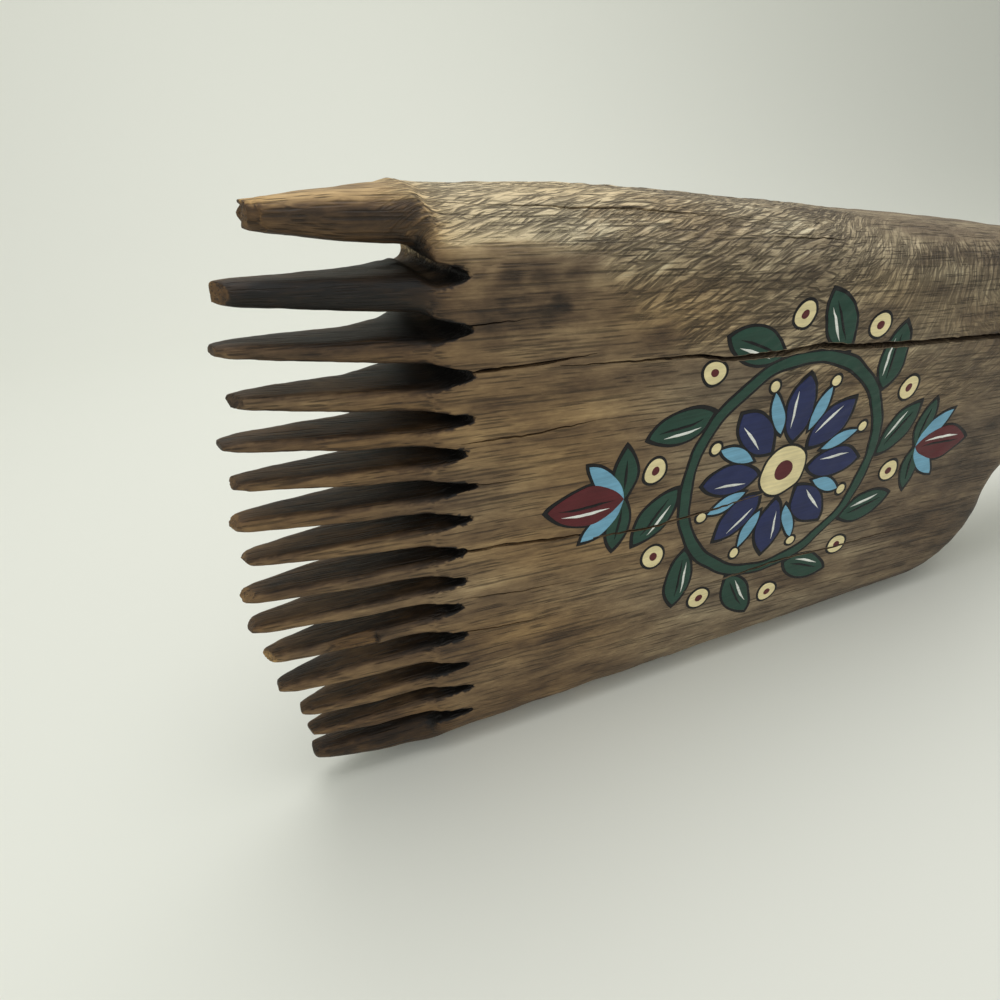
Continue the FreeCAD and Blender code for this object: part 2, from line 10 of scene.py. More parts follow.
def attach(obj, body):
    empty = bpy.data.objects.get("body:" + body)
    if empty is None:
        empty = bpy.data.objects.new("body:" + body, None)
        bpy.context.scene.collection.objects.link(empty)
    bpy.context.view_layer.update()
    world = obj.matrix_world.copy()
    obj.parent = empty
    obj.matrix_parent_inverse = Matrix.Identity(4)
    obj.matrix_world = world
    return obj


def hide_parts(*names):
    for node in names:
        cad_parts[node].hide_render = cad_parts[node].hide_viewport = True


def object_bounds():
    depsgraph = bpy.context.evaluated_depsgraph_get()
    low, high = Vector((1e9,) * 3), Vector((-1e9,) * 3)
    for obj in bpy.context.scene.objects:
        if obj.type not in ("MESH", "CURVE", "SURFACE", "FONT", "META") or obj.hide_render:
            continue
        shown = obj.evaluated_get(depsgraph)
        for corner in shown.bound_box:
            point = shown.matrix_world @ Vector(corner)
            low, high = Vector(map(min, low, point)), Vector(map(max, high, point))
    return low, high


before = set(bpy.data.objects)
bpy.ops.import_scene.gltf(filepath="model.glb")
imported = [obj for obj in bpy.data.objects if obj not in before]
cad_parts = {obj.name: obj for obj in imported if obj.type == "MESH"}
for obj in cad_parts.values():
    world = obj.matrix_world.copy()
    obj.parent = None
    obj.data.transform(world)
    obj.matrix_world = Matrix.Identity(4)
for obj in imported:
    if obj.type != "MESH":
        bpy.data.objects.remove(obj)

cadLow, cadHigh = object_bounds()
print("frame loaded:", len(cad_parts), "nodes")

# The comb's own directions, in millimetres: along it from the slot ends to the handle, deep into it from
# the painted face, and up across it from the lower edge, turned from the frame's by the taper of that edge
comb = {
    "taper": 0.0747,  # how much the lower edge rises for each length
    "standing": 79.72,  # from the slot ends to the middle of the strip that it stands on
    "face": -23.5,  # where the painted face lies in the frame
    "width": 150.1,  # over the teeth
    "thickness": 42.0,
    "rootPlane": -9.0,  # where the teeth and the head meet
    "boardStart": 4.0,  # where the roots have run out into the plain board
    "neckPlane": 215.0,  # where the head and the handle meet
    "gripRadius": 17.0,
    "wrapOver": 30.0,  # mm above or below its middle where the measure round the board has turned
}
toothCount = 15
toothNames = [f"tooth_{number:02d}" for number in range(1, toothCount + 1)]
lean = math.atan(comb["taper"])
combToFrame = np.array([
    [math.cos(lean), 0, math.sin(lean)],
    [0, 1, 0],
    [-math.sin(lean), 0, math.cos(lean)],
])
combShift = np.array([-comb["standing"], comb["face"], 0])


def toComb(places):  # frame metres to comb millimetres
    return (np.asarray(places) * 1000 - combShift) @ combToFrame


def toFrame(places):  # comb millimetres to frame metres
    return (np.asarray(places) @ combToFrame.T + combShift) / 1000


def ease(low, high, amount):  # 0 below low, 1 above high and smooth between
    share = np.clip((amount - low) / (high - low), 0, 1)
    return share * share * (3 - 2 * share)


def inZone(zone, along, height):  # the zone's amount inside it and 0 outside, with soft edges
    share = zone["amount"]
    for key, place in (("after", along), ("above", height)):
        if key in zone:
            share = share * ease(*zone[key], place)
    for key, place in (("before", along), ("below", height)):
        if key in zone:
            share = share * (1 - ease(*zone[key], place))
    return share


def ripple(places, wavelength, seed, headings=14):  # a smooth uneven field, about -1 to 1
    chance = np.random.default_rng(seed)
    total = np.zeros(len(places))
    for _ in range(headings):
        heading = chance.normal(size=3)
        heading *= 2 * math.pi / (np.linalg.norm(heading) * wavelength * chance.uniform(0.7, 1.5))
        total += np.sin(places @ heading + chance.uniform(0, 2 * math.pi))
    return total / math.sqrt(headings)


def swell(places, wavelength, seed):  # the same from 0 to 1
    return 0.5 + 0.5 * np.clip(ripple(places, wavelength, seed), -1, 1)


def cloud(places, patch):  # soft patches, stretched along the grain
    return patch["amount"] * ripple(places * (patch["stretch"], 1, 1), patch["length"], patch["seed"])


# Mesh helpers

weld = 1e-6  # metres between points that are one


def readAll(items, name, kind=np.float32, width=3):
    values = np.empty(len(items) * width, kind)
    items.foreach_get(name, values)
    return values.reshape(-1, width)


def readPlaces(mesh):
    return readAll(mesh.vertices, "co").astype(float)


def readNormals(mesh):  # in the comb's directions
    return readAll(mesh.vertices, "normal").astype(float) @ combToFrame


def writePlaces(mesh, places):
    mesh.vertices.foreach_set("co", places.astype(np.float32).ravel())
    mesh.update()


def addObject(name, data):
    made = bpy.data.objects.new(name, data)
    bpy.context.scene.collection.objects.link(made)
    return made


def finishMesh(work, name):
    mesh = bpy.data.meshes.new(name)
    work.to_mesh(mesh)
    work.free()
    return mesh


def openEdges(work):
    return [edge for edge in work.edges if edge.is_boundary]


def discard(piece):
    mesh = piece.data
    bpy.data.objects.remove(piece)
    bpy.data.meshes.remove(mesh)


def settle(piece):  # what the modifiers make becomes the piece's own mesh
    shown = piece.evaluated_get(bpy.context.evaluated_depsgraph_get())
    made = bpy.data.meshes.new_from_object(shown)
    old = piece.data
    piece.modifiers.clear()
    piece.data = made
    bpy.data.meshes.remove(old)


def combine(piece, other, operation):
    boolean = piece.modifiers.new("combine", "BOOLEAN")
    boolean.object = other
    boolean.operation = operation
    boolean.solver = "MANIFOLD"
    settle(piece)


def relax(places, edges, weight, rounds):  # moves each point towards the middle of its neighbours
    count = np.bincount(edges.ravel(), minlength=len(places))
    share = (weight / np.maximum(count, 1))[:, None]
    first, second = edges.T
    for _ in range(rounds):
        total = np.empty_like(places)
        for axis in range(3):
            total[:, axis] = np.bincount(first, places[second, axis], len(places))
            total[:, axis] += np.bincount(second, places[first, axis], len(places))
        places = places + share * (total - count[:, None] * places)
    return places


# Material helpers


def colour(hexText):  # sRGB hex to linear
    parts = [int(hexText[start:start + 2], 16) / 255 for start in (1, 3, 5)]
    linear = [part / 12.92 if part <= 0.04045 else ((part + 0.055) / 1.055) ** 2.4 for part in parts]
    return (*linear, 1)


def feed(tree, node, inputs):  # links what comes from another node and sets the rest
    for name, value in inputs.items():
        if isinstance(value, bpy.types.NodeSocket):
            tree.links.new(value, node.inputs[name])
        else:
            node.inputs[name].default_value = value


def addNode(tree, kind, inputs=None, stops=None, out=0, **settings):  # gives back one of its outputs
    node = tree.nodes.new("ShaderNode" + kind)
    for name, value in settings.items():
        setattr(node, name, value)
    feed(tree, node, inputs or {})
    if stops:
        ramp = node.color_ramp
        while len(ramp.elements) < len(stops):
            ramp.elements.new(0.5)
        for element, (place, hexText) in zip(ramp.elements, stops):
            element.position = place
            element.color = colour(hexText)
    return node.outputs[out]


def startMaterial(name):
    material = bpy.data.materials.new(name)
    material.use_nodes = True
    tree = material.node_tree
    return material, tree, tree.nodes["Principled BSDF"]


# The billet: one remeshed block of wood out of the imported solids, then carved and worn

billet = {
    "voxel": 0.00065,  # metres
    "reach": 1.5,  # mm that teeth and handle reach into the head before the remesh
    "kept": 0.41,  # share of the triangles that the thinning keeps
    "blend": 0.5,  # share of the way that a point moves in one round of smoothing
    "rootRounds": 24,  # where the carver blended the teeth into the head
    "rootStart": (-26, -16),  # the soft ends of this blend
    "rootEnd": (-7, -4),
    "topRoot": {"amount": 12, "above": (132, 141)},  # mm that it runs on at the top
    "neckRounds": 30,
    "neck": {"amount": 0.5, "after": (194, 206), "before": (220, 232)},
    "otherRounds": 3,
    "pinch": 0.62,  # how much narrower a slot gets towards its end
    "pinched": (1.5, 2, 7),  # fully from the first place to the second, no more at the third
    "pinchSpread": 2.2,  # half heights of the slot over which the wood beside it follows
    "hollow": 0.4,  # mm of hand-worked unevenness
    "toothHollow": 0.25,
    "hollows": [(0.65, 22, 11), (0.35, 6, 12)],  # each one's share, length in mm and seed
    "scallop": 0.34,  # mm, the deepest knife scallops
    "topDrop": 3.0,  # mm that the top edge has worn down towards the first tooth
    "topWorn": {"after": (-12, -7), "before": (-9, 44), "above": (112, 148)},
}

# Shallow knife scallops, one to a cell of a grid that is wrapped round the board
scallops = {
    "cell": 5.0,  # mm
    "halfLengths": (3.5, 8.0),  # mm, the shortest and the longest
    "halfWidths": (1.0, 2.0),
    "depths": (0.3, 1.0),
    "turn": 24.0,  # degrees from the grain on most of the face
    "shoulderTurn": 66.0,  # more degrees at the shoulder
    "spread": 14.0,
}

# Where the knife has been, in mm. A zone has an amount, starts after and ends before places along the comb,
# and lies above and below heights: the two numbers are the ends of its soft edge.
knife = {
    "stray": 2.2,  # how far the hand strayed, and over what length
    "strayLength": 12,
    "edge": 141,  # the marks reach down to here at the slots, and drop further along
    "drops": [{"amount": 27, "after": (10, 62)}, {"amount": 26, "after": (60, 116)}],
    "blur": (5, 6),  # under and over that edge
    "faint": {"amount": 0.12, "after": (20, 60)},  # faint marks on the rest of the face
    "fadings": [
        {"amount": 0.8, "after": (100, 122), "above": (138, 143)},  # rubbed smooth on the shoulder's top
        {"amount": 0.35, "after": (86, 116), "below": (118, 130)},
        {"amount": 0.22, "after": (76, 116)},
        {"amount": 1, "before": (0, 6), "below": (137, 142)},  # none in the first slot's mouth
    ],
    "start": (-22, -10),
    "neck": {"amount": 0.85, "after": (192, 206)},
    "shoulder": {"amount": 1, "after": (84, 132), "above": (104, 130), "behind": (6, 20)},
}

# Worn and broken ends of the teeth. A facet is a flat break: how far behind the tip its plane crosses the
# middle of the tooth in mm (ahead of it where negative), and how many degrees it faces up and to the front.
# Pale is bare wood.
tips = {
    1: {"facets": [(-2, 46, -15), (-1.6, -40, 40), (0.8, 2, 20)], "pale": 0.08, "warm": 0.6, "ragged": 1.7},
    2: {"facets": [(0.3, 3, 40)], "pale": 0.34, "warm": 0.35, "ragged": 0.2},
    3: {"facets": [(0.5, 10, 20)], "pale": 0.12, "warm": 0.1, "ragged": 0.2},
    4: {"facets": [(0.6, 30, 35), (0.8, -35, 0)], "pale": -0.12, "warm": 0.0, "ragged": 0.4},
    5: {"facets": [(0.4, -8, 20)], "pale": 0.05, "warm": 0.1, "ragged": 0.2},
    6: {"facets": [(0.8, 36, 20), (0.8, -26, -20)], "pale": 0.05, "warm": 0.2, "ragged": 0.5},
    7: {"facets": [(1.0, 44, 10), (0.4, -16, 30)], "pale": 0.18, "warm": 0.3, "ragged": 0.2},
    8: {"facets": [(1.1, 48, 0), (0.9, -38, 25)], "pale": 0.1, "warm": 0.2, "ragged": 0.4},
    9: {"facets": [(0.1, 4, 30), (1.4, 46, 20)], "pale": 0.34, "warm": 0.15, "ragged": 0.1},
    10: {"facets": [(0.2, -12, 25), (1.4, 42, 0)], "pale": 0.1, "warm": 0.5, "ragged": 0.1},
    11: {"facets": [(0.6, 8, 35), (-0.6, -40, 10)], "pale": 0.34, "warm": 0.35, "ragged": 0.6},
    12: {"facets": [(-0.6, 36, 25)], "pale": 0.04, "warm": 0.1, "ragged": 0.3},
    13: {"facets": [(-0.6, 30, 30)], "pale": 0.02, "warm": 0.1, "ragged": 0.3},
    14: {"facets": [(0.2, -10, 20)], "pale": 0.02, "warm": 0.2, "ragged": 0.2},
    15: {"facets": [(-1.2, 44, 15), (-1.2, -34, 30)], "pale": 0.05, "warm": 0.5, "ragged": 0.3},
}
tipWear = {
    "reach": 9.0,  # mm of a tooth that its worn end takes up
    "beside": 1.2,  # mm above and below the tooth that still count as the tooth
    "fade": (0.4, 1.3),  # times the reach, where the raggedness fades
    "length": 3.5,  # mm of one ragged wave
}
# Where the front ridge of one lower tooth has split off, in mm; the split rises slightly along the tooth
scar = {"tooth": 11, "from": -38.0, "to": -23.5, "depth": 1.5, "runIn": 7, "reach": 5, "climb": 0.05}


def gatherWood():
    whole = bmesh.new()
    for name in ["head_block", "handle"] + toothNames:
        piece = bmesh.new()
        piece.from_mesh(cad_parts[name].data)
        bmesh.ops.remove_doubles(piece, verts=piece.verts, dist=weld)
        mesh = finishMesh(piece, name)
        places = toComb(readPlaces(mesh))
        if name == "handle":
            places[places[:, 0] < comb["neckPlane"] + 0.01, 0] -= billet["reach"]
        elif name != "head_block":
            places[places[:, 0] > comb["rootPlane"] - 0.01, 0] += billet["reach"]
        writePlaces(mesh, toFrame(places))
        whole.from_mesh(mesh)
        bpy.data.meshes.remove(mesh)
    block = addObject("billet", finishMesh(whole, "billet"))
    remesh = block.modifiers.new("voxels", "REMESH")
    remesh.mode = "VOXEL"
    remesh.voxel_size = billet["voxel"]
    settle(block)
    return block


def unroll(places):  # height measured round the board: up the face, over the top and down the back
    along, deep, up = places.T
    top = comb["width"] - comb["taper"] * along
    front = up + deep * np.clip((up - comb["width"] / 2) / comb["wrapOver"], -1, 1)
    return np.where(deep < comb["thickness"] / 2, front, 2 * top + deep - up)


def scatter(columns, lines, number):  # an even random number for each cell of a grid
    mixed = np.sin(columns * 127.1 + lines * 311.7 + number * 74.7) * 43758.5453
    return mixed - np.floor(mixed)


def between(limits, share):
    return limits[0] + (limits[1] - limits[0]) * share


def scallopDepth(places):  # 0 to 1 over the whole board, from each cell's own scallop
    along, around = places[:, 0], unroll(places)
    turned = scallops["turn"] + scallops["shoulderTurn"] * shoulderShare(places)
    cell = scallops["cell"]
    columns, lines = np.floor(along / cell), np.floor(around / cell)
    depth = np.zeros(len(along))
    reach = math.ceil(scallops["halfLengths"][1] / cell)
    for column in range(-reach, reach + 1):
        for line in range(-reach, reach + 1):
            place = (columns + column, lines + line)
            middleAlong = (place[0] + scatter(*place, 1)) * cell
            middleAround = (place[1] + scatter(*place, 2)) * cell
            turn = np.radians(turned + (scatter(*place, 3) - 0.5) * 2 * scallops["spread"])
            offAlong, offAround = along - middleAlong, around - middleAround
            lengthwise = offAlong * np.cos(turn) + offAround * np.sin(turn)
            across = offAround * np.cos(turn) - offAlong * np.sin(turn)
            long = between(scallops["halfLengths"], scatter(*place, 4))
            wide = between(scallops["halfWidths"], scatter(*place, 5))
            bowl = np.clip(1 - (lengthwise / long) ** 2 - (across / wide) ** 2, 0, 1)
            depth = np.maximum(depth, bowl * between(scallops["depths"], scatter(*place, 6)))
    return depth


def risen(places):  # height up the face or the back, and on towards the middle of the top
    return places[:, 2] + np.minimum(places[:, 1], comb["thickness"] - places[:, 1]).clip(0, None)


def strayedRise(places):  # the same with an uneven hand, for the edges of marks and colour
    return risen(places) + knife["stray"] * ripple(places, knife["strayLength"], 18)


def shoulderShare(places):  # 1 where the knife marks stand across the grain at the shoulder
    along, deep, _ = places.T
    shoulder = knife["shoulder"]
    return inZone(shoulder, along, risen(places)) * (1 - ease(*shoulder["behind"], deep))


def knifeShare(places):  # how strongly a place is knife-marked: the side with the slots is smooth
    along, rise = places[:, 0], strayedRise(places)
    edge = knife["edge"]
    for drop in knife["drops"]:
        edge = edge - inZone(drop, along, rise)
    under, over = knife["blur"]
    marked = inZone(knife["faint"], along, rise) + ease(edge - under, edge + over, rise)
    for fading in knife["fadings"]:
        marked *= 1 - inZone(fading, along, rise)
    marked *= ease(*knife["start"], along) * (1 - inZone(knife["neck"], along, rise))
    return np.clip(marked, 0, 1)


def packedTeeth():
    return [toComb(readPlaces(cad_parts[name].data)) for name in toothNames]


def slotMiddles():  # middle height and half height of the slots where they enter the head, in comb mm
    spans = []
    for places in packedTeeth():
        root = places[places[:, 0] > comb["rootPlane"] - 0.5, 2]
        spans.append((root.min(), root.max()))
    return [((upper[0] + lower[1]) / 2, (upper[0] - lower[1]) / 2) for upper, lower in zip(spans, spans[1:])]


def pinchSlots(places):  # the saw ran out in a point, so each slot narrows towards its end
    full, last, gone = billet["pinched"]
    along = places[:, 0]
    closing = billet["pinch"] * ease(comb["rootPlane"], full, along) * (1 - ease(last, gone, along))
    for middle, half in slotMiddles():
        off = places[:, 2] - middle
        share = 1 - ease(half, billet["pinchSpread"] * half, np.abs(off))
        places[:, 2] -= off * closing * share
    return places


def toothEnds():  # where each packed tooth ends, in comb mm: tip, middle depth, middle height, half height
    ends = {}
    for number, places in enumerate(packedTeeth(), 1):
        near = places[places[:, 0] < places[:, 0].min() + tipWear["reach"]]
        low, high = near.min(axis=0), near.max(axis=0)
        ends[number] = (low[0], (low[1] + high[1]) / 2, (low[2] + high[2]) / 2, (high[2] - low[2]) / 2)
    return ends


def nearTip(places, end):
    tip, _, up, half = end
    beside = np.abs(places[:, 2] - up) < half + tipWear["beside"]
    return (places[:, 0] < tip + 2 * tipWear["reach"]) & beside


def wearTips(places, ends):
    whole, gone = (tipWear["reach"] * share for share in tipWear["fade"])
    for number, end in ends.items():
        wear = tips[number]
        tip, deep, up, _ = end
        near = nearTip(places, end)
        part = places[near]
        fade = 1 - ease(whole, gone, part[:, 0] - tip)
        part[:, 0] += wear["ragged"] * fade * swell(part, tipWear["length"], 60 + number)
        for back, rise, forward in wear["facets"]:
            rise, forward = math.radians(rise), math.radians(forward)
            facing = np.array([-math.cos(rise) * math.cos(forward), -math.cos(rise) * math.sin(forward),
                               math.sin(rise)])
            proud = (part - (tip + back, deep, up)) @ facing
            part[:, 0] -= np.maximum(proud, 0) / facing[0]
        places[near] = part
    return places


def inScar(places, ends):
    tip, _, middle, _ = ends[scar["tooth"]]
    along, _, up = places.T
    off = np.abs(up - middle - scar["climb"] * (along - tip))
    share = ease(scar["from"], scar["from"] + scar["runIn"], along) * (along < scar["to"])
    return share * (off < scar["reach"])


def carveBillet(block, ends):
    mesh = block.data
    edges = readAll(mesh.edges, "vertices", np.int32, 2)
    places = toComb(readPlaces(mesh))
    along, _, up = places.T
    topRoot = inZone(billet["topRoot"], along, up)
    root = billet["blend"] * ease(*billet["rootStart"], along)
    root *= 1 - ease(*billet["rootEnd"], along - topRoot)
    neck = inZone(billet["neck"], along, up)
    places = relax(places, edges, root, billet["rootRounds"])
    places = relax(places, edges, neck, billet["neckRounds"])
    places = relax(places, edges, np.full(len(places), billet["blend"]), billet["otherRounds"])
    places = pinchSlots(places)
    writePlaces(mesh, toFrame(places))

    normals = readNormals(mesh)
    along, _, up = places.T
    board = ease(comb["rootPlane"], comb["boardStart"], along)
    hollow = billet["hollow"] * board + billet["toothHollow"] * (1 - board)
    depth = hollow * sum(share * swell(places, length, seed) for share, length, seed in billet["hollows"])
    depth += billet["scallop"] * scallopDepth(places) * knifeShare(places)
    front = ease(0.35, 0.8, -normals[:, 1])
    depth += scar["depth"] * inScar(places, ends) * front
    places = places - normals * depth[:, None]
    top = billet["topWorn"]
    worn = ease(*top["after"], along) * (1 - ease(*top["before"], along)) * ease(*top["above"], up)
    places[:, 2] -= billet["topDrop"] * worn
    places = wearTips(places, ends)
    writePlaces(mesh, toFrame(places))
    thin = block.modifiers.new("thin", "DECIMATE")
    thin.ratio = billet["kept"]
    settle(block)
    writePlaces(block.data, np.clip(readPlaces(block.data), np.array(cadLow), np.array(cadHigh)))
    print("billet carved:", len(block.data.polygons), "triangles")


# Where dirt and dye have sunk into the face: along, up, half length and half height in mm, and how dark
stains = [(12, 130, 24, 9, 0.2), (14, 131, 9, 6, 0.2), (18, 126, 6, 4, 0.12), (4, 121, 6, 8, 0.08)]

# Tone runs from 0, the darkest wood, to 1, the lightest. Each zone of the board adds its amount, by height
# straight up, by height up and on over the top (rise), or by that with an uneven hand (strayed).
tones = {
    "board": 0.5,
    "boardZones": [
        {"by": "rise", "amount": 0.09, "above": (100, 138)},
        {"by": "strayed", "amount": 0.48, "above": (134, 145), "before": (0, 62)},  # pale over the slots
        {"by": "up", "amount": 0.05, "above": (44, 80), "before": (10, 60), "below": (98, 110)},
        {"by": "rise", "amount": -0.1, "after": (110, 190), "below": (40, 110)},
        {"by": "up", "amount": -0.1, "below": (4, 22)},
        {"by": "up", "amount": -0.09, "after": (110, 170)},
    ],
    # painted shade: the walls and ends of the slots are darkened nearly to black
    "slots": {"amount": -0.8, "before": (3, 6)},
    "boardWebShade": -0.3,  # painted shade: the hollows between the roots darkened nearly to black, on the board
    # the same painted shade in these hollows, on the teeth
    "toothWebShade": -0.34,
    "tooth": 0.26,
    # painted light: the fronts of the teeth are paler than their shaded sides, less so on the upper teeth
    "toothFrontLight": 0.2,
    "upperFrontLight": {"amount": -0.28, "above": (116, 132)},
    "toothTopWearAndLight": 0.58,  # the top of the first tooth where it faces up: partly worn bare wood, partly painted light from above
    # painted shade: the teeth are darker where they face down
    "toothUnderShade": -0.05,
    "toothZones": [{"amount": -0.2, "below": (11, 22)},
                   {"amount": -0.13, "above": (112, 122), "below": (131, 137)}],
    # painted shade: the walls of the teeth are darker deep in the gaps near the roots
    "toothWallShade": {"amount": -0.16, "after": (-20, -9)},
    "inside": -0.6,  # in a crack or a split
    "tipSide": 0.35,  # how much the sides of a tip take of its end's tone
}
clouds = [{"amount": 0.05, "stretch": 0.35, "length": 17, "seed": 13},
          {"amount": 0.04, "stretch": 0.2, "length": 6, "seed": 14}]
# Warmth runs from 0, a cold grey, to 1, a warm brown
warmths = {
    "tooth": 0.7,
    "lowTeeth": {"amount": 0.8, "below": (11, 22)},
    "board": 0.62,
    "farBoard": {"amount": -0.5, "after": (10, 100)},
    "topBoard": {"amount": -0.3, "above": (120, 140)},
    "scar": 0.5,
    "cloud": {"amount": 0.14, "stretch": 0.4, "length": 24, "seed": 15},
}


def stainDepth(places):
    along, _, up = places.T
    dark = np.zeros(len(places))
    for middle, height, long, tall, strength in stains:
        dark += strength * np.exp(-((along - middle) / long) ** 2 - ((up - height) / tall) ** 2)
    return dark * np.clip(1 + 0.3 * ripple(places, 3.5, 17), 0.4, 1.6)


def describeWood(mesh, uncut, ends):  # what the wood's material reads at each place
    places = toComb(readPlaces(mesh))
    nearest = [uncut.find_nearest(vertex.co) for vertex in mesh.vertices]
    normals = np.array([found[1] for found in nearest]) @ combToFrame
    inside = np.array([found[3] for found in nearest]) * 1000
    along, deep, up = places.T
    heights = {"up": up, "rise": risen(places), "strayed": strayedRise(places)}

    # 1 where the wood is of the kind named: board and not teeth, facing the front, the wall of a slot ...
    board = ease(-13, -1, along)
    front = ease(0.3, 0.9, -normals[:, 1])
    inner = (up > 6) & ((up < 137) | (normals[:, 2] < 0))
    wall = ease(0.4, 0.8, np.abs(normals[:, 2])) * inner
    slotEnd = ease(0.3, 0.7, -normals[:, 0]) * ease(1, 2, deep) * (1 - ease(8, 16, deep))
    web = ease(0.15, 0.55, -normals[:, 0]) * ease(-32, -16, along)
    web *= ease(1, 3, deep) * (1 - ease(20, 28, deep))
    # where the top of the first tooth faces up, for its painted light
    topMost = ease(134, 141, up) * ease(0.3, 0.85, normals[:, 2])
    # where the teeth face down, for their painted shade
    under = ease(0.3, 0.9, -normals[:, 2])

    tone = tones["board"] - front * stainDepth(places)
    for zone in tones["boardZones"]:
        tone += inZone(zone, along, heights[zone["by"]])
    # painted shade in the slots: their walls and ends darkened nearly to black
    tone += np.maximum(wall, slotEnd) * inner * board * inZone(tones["slots"], along, up)
    # painted shade in the hollows between the roots
    tone += tones["boardWebShade"] * web
    # painted light on the fronts of the teeth
    toothTone = tones["tooth"] + front * (tones["toothFrontLight"] + inZone(tones["upperFrontLight"], along, up))
    # painted light on the top of the first tooth, painted shade under the teeth
    toothTone += tones["toothTopWearAndLight"] * topMost + tones["toothUnderShade"] * under
    # painted shade on the walls of the teeth near the roots
    toothTone += wall * inZone(tones["toothWallShade"], along, up)
    for zone in tones["toothZones"]:
        toothTone += inZone(zone, along, up)
    # painted shade in the hollows between the roots
    toothTone += tones["toothWebShade"] * web
    tone = tone * board + toothTone * (1 - board) + sum(cloud(places, patch) for patch in clouds)

    toothWarmth = warmths["tooth"] + inZone(warmths["lowTeeth"], along, up)
    boardWarmth = warmths["board"] + inZone(warmths["farBoard"], along, up)
    boardWarmth += inZone(warmths["topBoard"], along, heights["rise"])
    warm = toothWarmth * (1 - board) + boardWarmth * board
    warm += cloud(places, warmths["cloud"]) + warmths["scar"] * inScar(places, ends) * front

    facing = ease(0.2, 0.75, -normals[:, 0])
    for number, end in ends.items():
        side = tones["tipSide"] * (1 - ease(2, tipWear["reach"], along - end[0]))
        share = nearTip(places, end) * np.maximum(facing, side)
        tone += tips[number]["pale"] * share
        warm += tips[number]["warm"] * share
    tone += tones["inside"] * ease(0.12, 0.7, inside)
    plain = np.maximum(ease(0.1, 0.3, inside), wall * (1 - ease(4, 8, along)))
    fields = {
        "tone": tone,
        "warm": warm,
        "knife": knifeShare(places) * (1 - plain),
        "shoulder": shoulderShare(places),
        "around": aroundGrain(places, wall) / 1000,
    }
    for name, values in fields.items():
        field = mesh.attributes.new(name, "FLOAT", "POINT")
        field.data.foreach_set("value", np.asarray(values, np.float32))


def aroundGrain(places, wall):  # how far round the wood a place lies, to lay the grain on every side of it
    along, deep, up = places.T
    around = np.where((along < comb["rootPlane"]) | (wall > 0.3), up + deep, unroll(places))
    grip = along > comb["neckPlane"]
    middle = places[grip].mean(axis=0)
    turn = np.arctan2(up - middle[2], deep - middle[1])
    return np.where(grip, turn * comb["gripRadius"], around)


# Drying cracks. Each is a path on the face: places along and up the comb, in mm. Widest is how far along
# its run a crack is widest. The ones on the rounded top edge start deeper and turn down into the wood.
cracks = {
    "main": {"path": [(-3, 113.4), (14, 114.0), (29, 115.2)], "width": 1.0, "depth": 7, "widest": 0.3},
    "mainFar": {"path": [(20, 113.0), (40, 112.3), (58, 112.0), (66, 110.5), (86, 110.5), (97, 111.4),
                         (106, 110.2), (132, 109.2), (166, 108.6), (200, 107.0)],
                "width": 1.9, "depth": 9, "widest": 0.7, "painted": True},
    "upper": {"path": [(-3, 97.2), (13, 97.4), (34, 99.0)], "width": 0.55, "depth": 4, "widest": 0.3},
    "middle": {"path": [(-4, 68.4), (8, 68.2), (20, 67.4), (42, 66.2)], "width": 1.1, "depth": 6,
               "widest": 0.2},
    "middleFar": {"path": [(34, 65.2), (53, 64.6), (68, 66.0), (90, 68.3)], "width": 0.6, "depth": 5,
                  "widest": 0.4, "painted": True},
    "lower": {"path": [(-3, 43.4), (9, 42.3), (26, 41.8)], "width": 0.5, "depth": 4, "widest": 0.2},
    "lowerFar": {"path": [(68, 38.2), (86, 40.3), (103, 42.0), (125, 41.8), (146, 42.7), (166, 42.2)],
                 "width": 0.6, "depth": 5, "widest": 0.5, "painted": True},
    "slotTwo": {"path": [(-3, 123.5), (12, 123.9)], "width": 0.35, "depth": 3, "widest": 0.2},
    "slotSix": {"path": [(-1, 86.6), (12, 85.8)], "width": 0.35, "depth": 3, "widest": 0.2},
    "slotTen": {"path": [(-2, 54.2), (16, 52.6), (30, 52.2)], "width": 0.4, "depth": 3, "widest": 0.3},
    "topEdge": {"path": [(-17, 148.1), (3, 147.3), (20, 145.2), (39, 143.9), (62, 142.4)],
                "width": 0.8, "depth": 4, "widest": 0.5, "start": 6.4, "turn": 53},
    "topFar": {"path": [(44, 145.6), (66, 143.6), (92, 142.0)],
               "width": 0.5, "depth": 3, "widest": 0.5, "start": 4.5, "turn": 46},
    "knot": {"path": [(74, 138.6), (86, 137.8), (102, 137.4)],
             "width": 0.5, "depth": 3, "widest": 0.4, "start": 3.0, "turn": 36},
}
crackStyle = {
    "step": 1.6,  # mm between the points of a crack's ragged edge
    "ragged": 0.16,  # mm that these points stray
    "proud": 4.0,  # mm that the cutting blade stands out of the wood
    "full": 1.7,  # how soon a crack is as wide as it gets: 1 is only at its widest place
    "end": 0.1,  # share of its width at its ends
    "uneven": (0.8, 1.2),  # shares of its width: always, and by chance on top
    "floor": 0.03,  # half its width in mm at the bottom
    "shallow": 0.4,  # share of its depth at its ends
}


